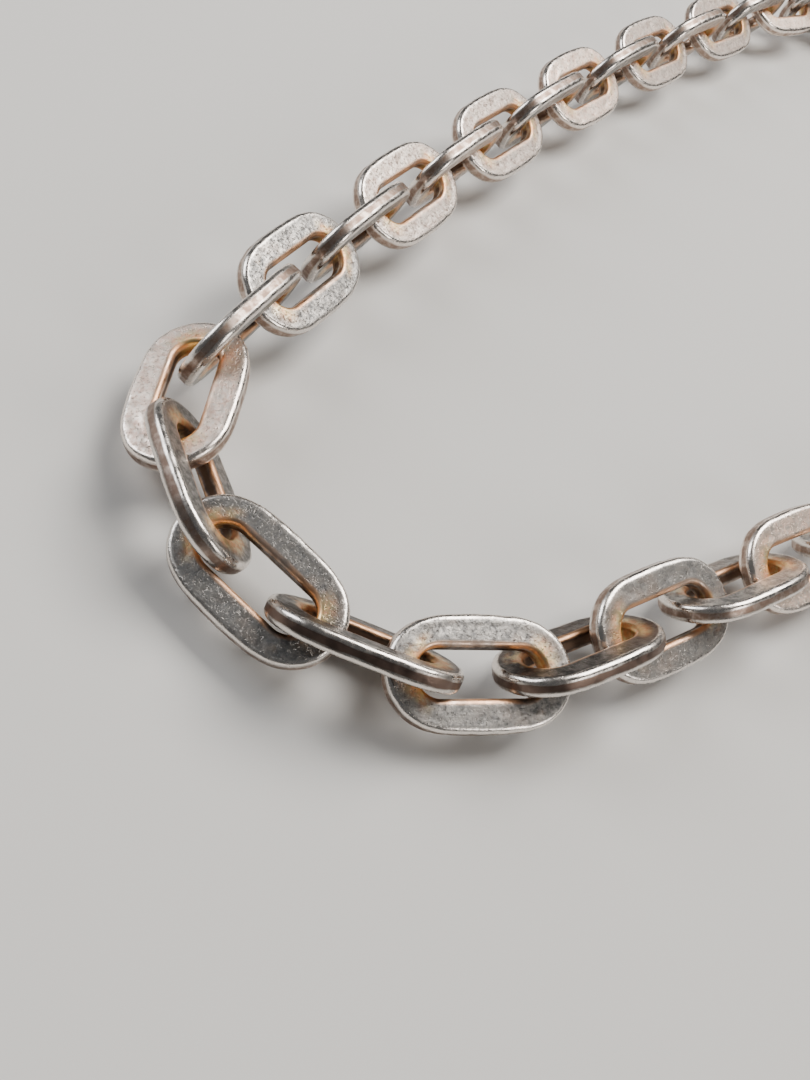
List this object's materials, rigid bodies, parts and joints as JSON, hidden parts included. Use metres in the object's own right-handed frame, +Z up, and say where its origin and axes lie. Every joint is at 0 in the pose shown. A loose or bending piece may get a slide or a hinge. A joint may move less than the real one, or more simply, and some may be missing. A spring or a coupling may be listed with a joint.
{
  "type": "chain necklace",
  "caption": "Heavy cable chain necklace with flat-sided oval links, undone and laid in an open U, with a lobster clasp at one end and an end ring at the other.",
  "frame": {"origin": "centre of the bounding box in plan, at the table the chain lies on", "axes": "+Z up from the table; +X the way the open ends of the U point; +Y towards the far arm"},
  "size_m": [0.1978, 0.1904, 0.0095],
  "materials": {
    "link_metal": "worn satin with polished edges and a warm tarnish",
    "clasp_metal": "polished, lightly worn",
    "pin_metal": "polished"
  },
  "bodies": {
    "link_01": {"link_01": "link_metal"},
    "link_02": {"link_02": "link_metal"},
    "link_03": {"link_03": "link_metal"},
    "link_04": {"link_04": "link_metal"},
    "link_05": {"link_05": "link_metal"},
    "link_06": {"link_06": "link_metal"},
    "link_07": {"link_07": "link_metal"},
    "link_08": {"link_08": "link_metal"},
    "link_09": {"link_09": "link_metal"},
    "link_10": {"link_10": "link_metal"},
    "link_11": {"link_11": "link_metal"},
    "link_12": {"link_12": "link_metal"},
    "link_13": {"link_13": "link_metal"},
    "link_14": {"link_14": "link_metal"},
    "link_15": {"link_15": "link_metal"},
    "link_16": {"link_16": "link_metal"},
    "link_17": {"link_17": "link_metal"},
    "link_18": {"link_18": "link_metal"},
    "link_19": {"link_19": "link_metal"},
    "link_20": {"link_20": "link_metal"},
    "link_21": {"link_21": "link_metal"},
    "link_22": {"link_22": "link_metal"},
    "link_23": {"link_23": "link_metal"},
    "link_24": {"link_24": "link_metal"},
    "link_25": {"link_25": "link_metal"},
    "link_26": {"link_26": "link_metal"},
    "link_27": {"link_27": "link_metal"},
    "link_28": {"link_28": "link_metal"},
    "link_29": {"link_29": "link_metal"},
    "link_30": {"link_30": "link_metal"},
    "link_31": {"link_31": "link_metal"},
    "link_32": {"link_32": "link_metal"},
    "link_33": {"link_33": "link_metal"},
    "link_34": {"link_34": "link_metal"},
    "link_35": {"link_35": "link_metal"},
    "link_36": {"link_36": "link_metal"},
    "link_37": {"link_37": "link_metal"},
    "link_38": {"link_38": "link_metal"},
    "link_39": {"link_39": "link_metal"},
    "link_40": {"link_40": "link_metal"},
    "link_41": {"link_41": "link_metal"},
    "link_42": {"link_42": "link_metal"},
    "link_43": {"link_43": "link_metal"},
    "link_44": {"link_44": "link_metal"},
    "link_45": {"link_45": "link_metal"},
    "clasp": {"clasp_body": "clasp_metal", "clasp_pin": "pin_metal"},
    "clasp_lever": {"clasp_lever": "clasp_metal"},
    "end_ring": {"end_ring": "clasp_metal"}
  },
  "joints": [
    {"name": "clasp_swing", "type": "hinge", "parent": "link_01", "child": "clasp", "pos_m": [0.07772, -0.00188, 0.00502], "axis": [0.028, -0.0064, -0.9996], "range_deg": [-25, 25]},
    {"name": "clasp_lever_pivot", "type": "hinge", "parent": "clasp", "child": "clasp_lever", "pos_m": [0.08447, -0.00105, 0.00392], "axis": [-0.1034, 0.0235, -0.9944], "range_deg": [0, 34], "stiffness_Nm_per_rad": 0.02, "springref_deg": -5.73},
    {"name": "end_ring_swing", "type": "hinge", "parent": "link_45", "child": "end_ring", "pos_m": [-0.0246, 0.08766, 0.00509], "axis": [-0.0211, -0.0044, 0.9998], "range_deg": [-25, 25]},
    {"name": "link_01_swing", "type": "hinge", "parent": "link_02", "child": "link_01", "pos_m": [0.06869, 0.00046, 0.00476], "axis": [-0.1355, -0.9895, -0.0504], "range_deg": [-25, 25]},
    {"name": "link_02_swing", "type": "hinge", "parent": "link_03", "child": "link_02", "pos_m": [0.05949, 0.0017, 0.00491], "axis": [-0.027, -0.1764, 0.984], "range_deg": [-25, 25]},
    {"name": "link_03_swing", "type": "hinge", "parent": "link_04", "child": "link_03", "pos_m": [0.05017, 0.0024, 0.00477], "axis": [-0.0385, 0.9878, 0.1507], "range_deg": [-25, 25]},
    {"name": "link_04_swing", "type": "hinge", "parent": "link_05", "child": "link_04", "pos_m": [0.04095, 0.00201, 0.00483], "axis": [-0.0207, 0.3495, -0.9367], "range_deg": [-25, 25]},
    {"name": "link_05_swing", "type": "hinge", "parent": "link_06", "child": "link_05", "pos_m": [0.0317, 0.00106, 0.00465], "axis": [0.2064, -0.9461, -0.2494], "range_deg": [-25, 25]},
    {"name": "link_06_swing", "type": "hinge", "parent": "link_07", "child": "link_06", "pos_m": [0.02273, -0.00091, 0.00463], "axis": [0.1256, -0.495, 0.8597], "range_deg": [-25, 25]},
    {"name": "link_07_swing", "type": "hinge", "parent": "link_08", "child": "link_07", "pos_m": [0.01384, -0.00348, 0.00441], "axis": [-0.3582, 0.8673, 0.3456], "range_deg": [-25, 25]},
    {"name": "link_08_swing", "type": "hinge", "parent": "link_09", "child": "link_08", "pos_m": [0.00537, -0.00692, 0.00428], "axis": [-0.28, 0.5921, -0.7557], "range_deg": [-25, 25]},
    {"name": "link_09_swing", "type": "hinge", "parent": "link_10", "child": "link_09", "pos_m": [-0.00287, -0.01101, 0.00408], "axis": [0.4801, -0.7598, -0.4384], "range_deg": [-25, 25]},
    {"name": "link_10_swing", "type": "hinge", "parent": "link_11", "child": "link_10", "pos_m": [-0.01063, -0.01585, 0.00401], "axis": [0.425, -0.5805, 0.6945], "range_deg": [-25, 25]},
    {"name": "link_11_swing", "type": "hinge", "parent": "link_12", "child": "link_11", "pos_m": [-0.01799, -0.02129, 0.00391], "axis": [-0.6007, 0.6686, 0.4384], "range_deg": [-25, 25]},
    {"name": "link_12_swing", "type": "hinge", "parent": "link_13", "child": "link_12", "pos_m": [-0.02479, -0.02741, 0.00396], "axis": [-0.5217, 0.4954, -0.6946], "range_deg": [-25, 25]},
    {"name": "link_13_swing", "type": "hinge", "parent": "link_14", "child": "link_13", "pos_m": [-0.0311, -0.03404, 0.00391], "axis": [0.7076, -0.5542, -0.4384], "range_deg": [-25, 25]},
    {"name": "link_14_swing", "type": "hinge", "parent": "link_15", "child": "link_14", "pos_m": [-0.03673, -0.04125, 0.00396], "axis": [0.5998, -0.3972, 0.6946], "range_deg": [-25, 25]},
    {"name": "link_15_swing", "type": "hinge", "parent": "link_16", "child": "link_15", "pos_m": [-0.04179, -0.04888, 0.00391], "axis": [-0.7931, 0.4229, 0.4384], "range_deg": [-25, 25]},
    {"name": "link_16_swing", "type": "hinge", "parent": "link_17", "child": "link_16", "pos_m": [-0.04604, -0.05698, 0.00402], "axis": [-0.6361, 0.336, -0.6946], "range_deg": [-25, 25]},
    {"name": "link_17_swing", "type": "hinge", "parent": "link_18", "child": "link_17", "pos_m": [-0.05023, -0.06511, 0.00394], "axis": [0.7983, -0.413, -0.4383], "range_deg": [-25, 25]},
    {"name": "link_18_swing", "type": "hinge", "parent": "link_19", "child": "link_18", "pos_m": [-0.05434, -0.07329, 0.0041], "axis": [0.6289, -0.3492, 0.6947], "range_deg": [-25, 25]},
    {"name": "link_19_swing", "type": "hinge", "parent": "link_20", "child": "link_19", "pos_m": [-0.05816, -0.08163, 0.00382], "axis": [-0.6162, 0.7094, 0.342], "range_deg": [-13, 13]},
    {"name": "link_20_swing", "type": "hinge", "parent": "link_21", "child": "link_20", "pos_m": [-0.0648, -0.08781, 0.00415], "axis": [-0.2125, 0.6872, -0.6947], "range_deg": [-11, 13]},
    {"name": "link_21_swing", "type": "hinge", "parent": "link_22", "child": "link_21", "pos_m": [-0.07333, -0.09137, 0.00381], "axis": [-0.147, -0.9281, -0.342], "range_deg": [-9, 11]},
    {"name": "link_23_swing", "type": "hinge", "parent": "link_22", "child": "link_23", "pos_m": [-0.08577, -0.0894, 0.00381], "axis": [-0.147, -0.9281, -0.342], "range_deg": [-8, 9]},
    {"name": "link_24_swing", "type": "hinge", "parent": "link_23", "child": "link_24", "pos_m": [-0.09252, -0.08305, 0.00436], "axis": [0.4239, 0.5813, -0.6946], "range_deg": [-13, 9]},
    {"name": "link_25_swing", "type": "hinge", "parent": "link_24", "child": "link_25", "pos_m": [-0.09579, -0.07462, 0.00452], "axis": [0.8723, 0.3499, 0.3415], "range_deg": [-11, 8]},
    {"name": "link_26_swing", "type": "hinge", "parent": "link_25", "child": "link_26", "pos_m": [-0.09468, -0.06533, 0.00521], "axis": [0.2423, -0.0173, 0.9701], "range_deg": [-25, 25]},
    {"name": "link_27_swing", "type": "hinge", "parent": "link_26", "child": "link_27", "pos_m": [-0.09453, -0.05613, 0.00493], "axis": [-0.8826, 0.0263, 0.4693], "range_deg": [-25, 25]},
    {"name": "link_28_swing", "type": "hinge", "parent": "link_27", "child": "link_28", "pos_m": [-0.09416, -0.04693, 0.00497], "axis": [-0.2415, 0.0147, -0.9703], "range_deg": [-25, 25]},
    {"name": "link_29_swing", "type": "hinge", "parent": "link_28", "child": "link_29", "pos_m": [-0.09361, -0.03773, 0.00484], "axis": [0.881, -0.0583, -0.4694], "range_deg": [-25, 25]},
    {"name": "link_30_swing", "type": "hinge", "parent": "link_29", "child": "link_30", "pos_m": [-0.09285, -0.02856, 0.00492], "axis": [0.2403, -0.0293, 0.9702], "range_deg": [-25, 25]},
    {"name": "link_31_swing", "type": "hinge", "parent": "link_30", "child": "link_31", "pos_m": [-0.09192, -0.01939, 0.00481], "axis": [-0.878, 0.0936, 0.4695], "range_deg": [-25, 25]},
    {"name": "link_32_swing", "type": "hinge", "parent": "link_31", "child": "link_32", "pos_m": [-0.09077, -0.01026, 0.0049], "axis": [-0.2387, 0.0407, -0.9702], "range_deg": [-25, 25]},
    {"name": "link_33_swing", "type": "hinge", "parent": "link_32", "child": "link_33", "pos_m": [-0.08946, -0.00114, 0.0048], "axis": [0.8734, -0.1299, -0.4695], "range_deg": [-25, 25]},
    {"name": "link_34_swing", "type": "hinge", "parent": "link_33", "child": "link_34", "pos_m": [-0.08792, 0.00794, 0.0049], "axis": [0.2368, -0.0511, 0.9702], "range_deg": [-25, 25]},
    {"name": "link_35_swing", "type": "hinge", "parent": "link_34", "child": "link_35", "pos_m": [-0.08623, 0.01699, 0.0048], "axis": [-0.8672, 0.1662, 0.4695], "range_deg": [-25, 25]},
    {"name": "link_36_swing", "type": "hinge", "parent": "link_35", "child": "link_36", "pos_m": [-0.08431, 0.026, 0.0049], "axis": [-0.2343, 0.0614, -0.9702], "range_deg": [-25, 25]},
    {"name": "link_37_swing", "type": "hinge", "parent": "link_36", "child": "link_37", "pos_m": [-0.08225, 0.03498, 0.00481], "axis": [0.8595, -0.202, -0.4695], "range_deg": [-25, 25]},
    {"name": "link_38_swing", "type": "hinge", "parent": "link_37", "child": "link_38", "pos_m": [-0.07996, 0.04388, 0.00492], "axis": [0.2057, -0.0654, 0.9764], "range_deg": [-25, 25]},
    {"name": "link_39_swing", "type": "hinge", "parent": "link_38", "child": "link_39", "pos_m": [-0.07642, 0.05244, 0.00494], "axis": [-0.8572, 0.3573, 0.3709], "range_deg": [-25, 25]},
    {"name": "link_40_swing", "type": "hinge", "parent": "link_39", "child": "link_40", "pos_m": [-0.07142, 0.06024, 0.00491], "axis": [-0.1327, 0.0944, -0.9867], "range_deg": [-25, 25]},
    {"name": "link_41_swing", "type": "hinge", "parent": "link_40", "child": "link_41", "pos_m": [-0.06566, 0.06752, 0.00493], "axis": [0.7542, -0.5994, -0.2681], "range_deg": [-25, 25]},
    {"name": "link_42_swing", "type": "hinge", "parent": "link_41", "child": "link_42", "pos_m": [-0.05866, 0.07364, 0.00493], "axis": [0.0655, -0.0873, 0.994], "range_deg": [-25, 25]},
    {"name": "link_43_swing", "type": "hinge", "parent": "link_42", "child": "link_43", "pos_m": [-0.05109, 0.07907, 0.00493], "axis": [-0.5749, 0.802, 0.1622], "range_deg": [-25, 25]},
    {"name": "link_44_swing", "type": "hinge", "parent": "link_43", "child": "link_44", "pos_m": [-0.04264, 0.08302, 0.00495], "axis": [-0.0161, 0.0529, -0.9985], "range_deg": [-25, 25]},
    {"name": "link_45_swing", "type": "hinge", "parent": "link_44", "child": "link_45", "pos_m": [-0.03384, 0.08618, 0.00492], "axis": [0.3373, -0.9398, -0.0543], "range_deg": [-25, 25]}
  ]
}
